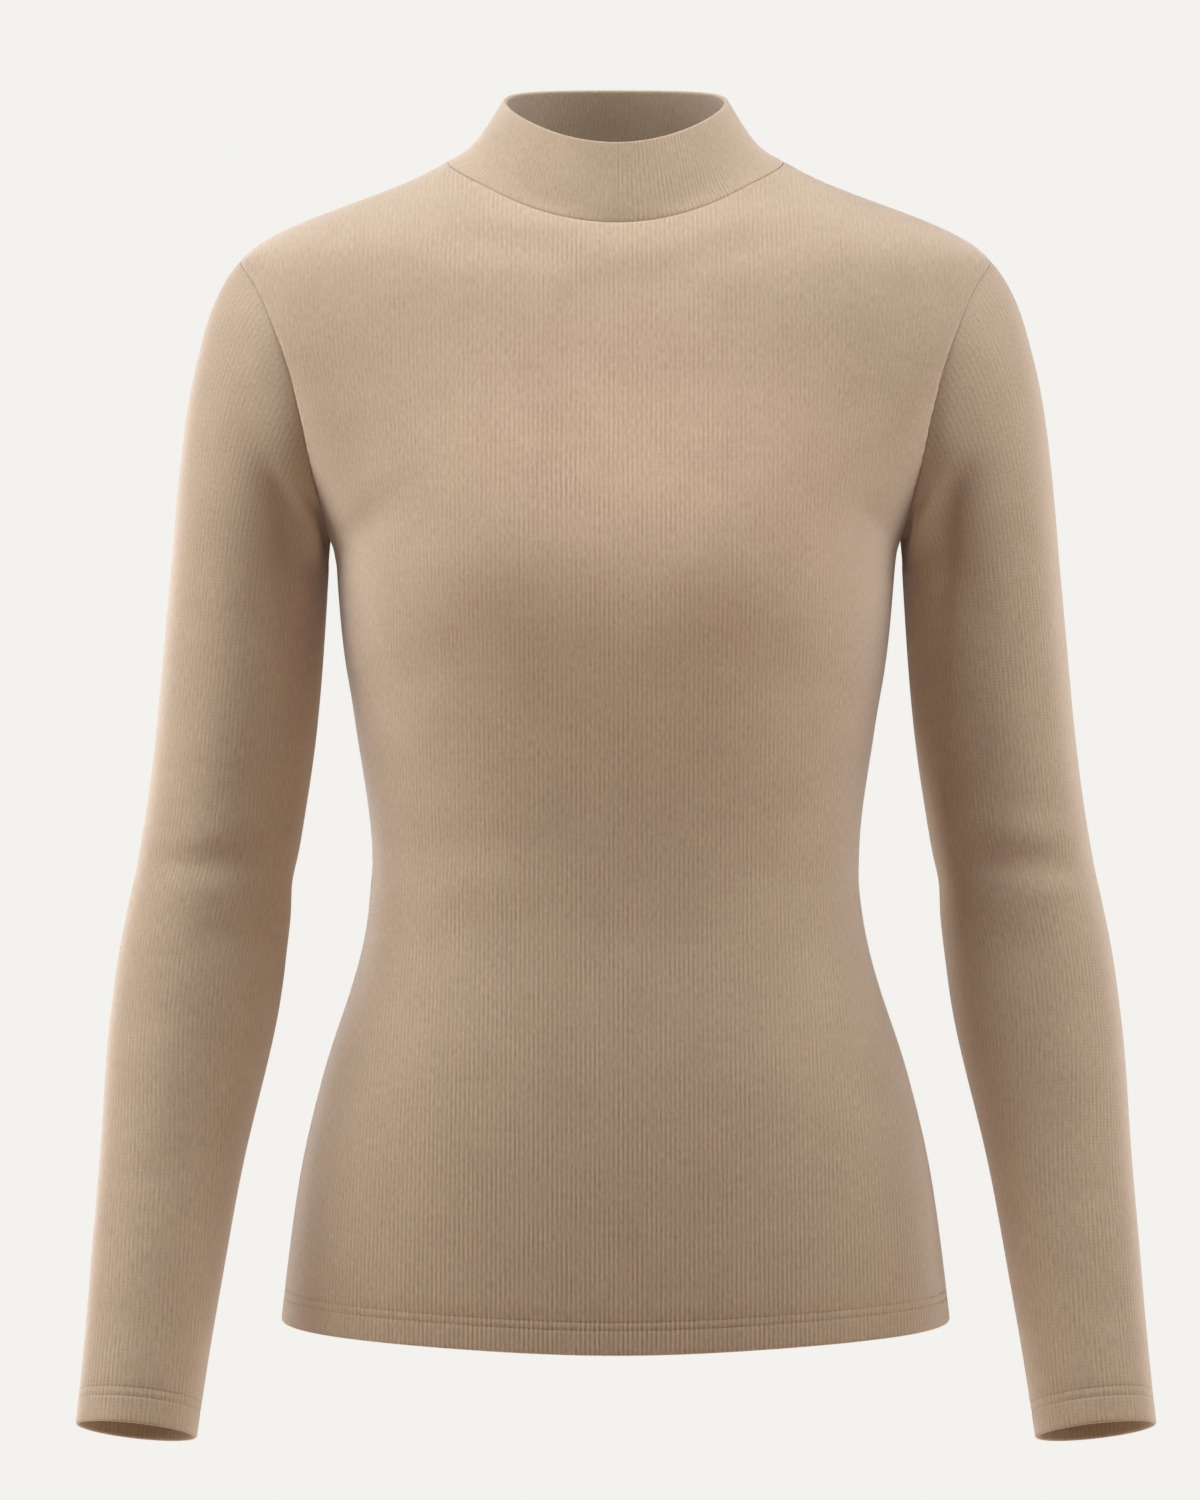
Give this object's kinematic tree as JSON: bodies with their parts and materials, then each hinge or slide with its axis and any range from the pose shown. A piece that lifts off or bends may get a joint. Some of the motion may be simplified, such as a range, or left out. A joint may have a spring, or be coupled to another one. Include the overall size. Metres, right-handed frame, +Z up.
{
  "type": "long-sleeve t-shirt",
  "caption": "Fitted rib-knit long-sleeve top with a stand-up mock neck, set-in sleeves and a stitched hem, hollow in its worn shape.",
  "frame": {"origin": "midway between the two points where a shoulder seam meets the neck seam, at their height, where the shoulders hold the garment up", "axes": "+Z up, -Y to the front, +X to the wearer's left"},
  "size_m": [0.5334, 0.224, 0.6899],
  "materials": {
    "body_knit": "matte fine rib knit, ribs upright",
    "sleeve_knit": "matte fine rib knit, ribs along the arm",
    "collar_knit": "matte fine rib knit, folded double"
  },
  "bodies": {
    "root": {"front": "body_knit", "back": "body_knit", "sleeve_left": "sleeve_knit", "sleeve_right": "sleeve_knit", "collar": "collar_knit"}
  },
  "joints": []
}
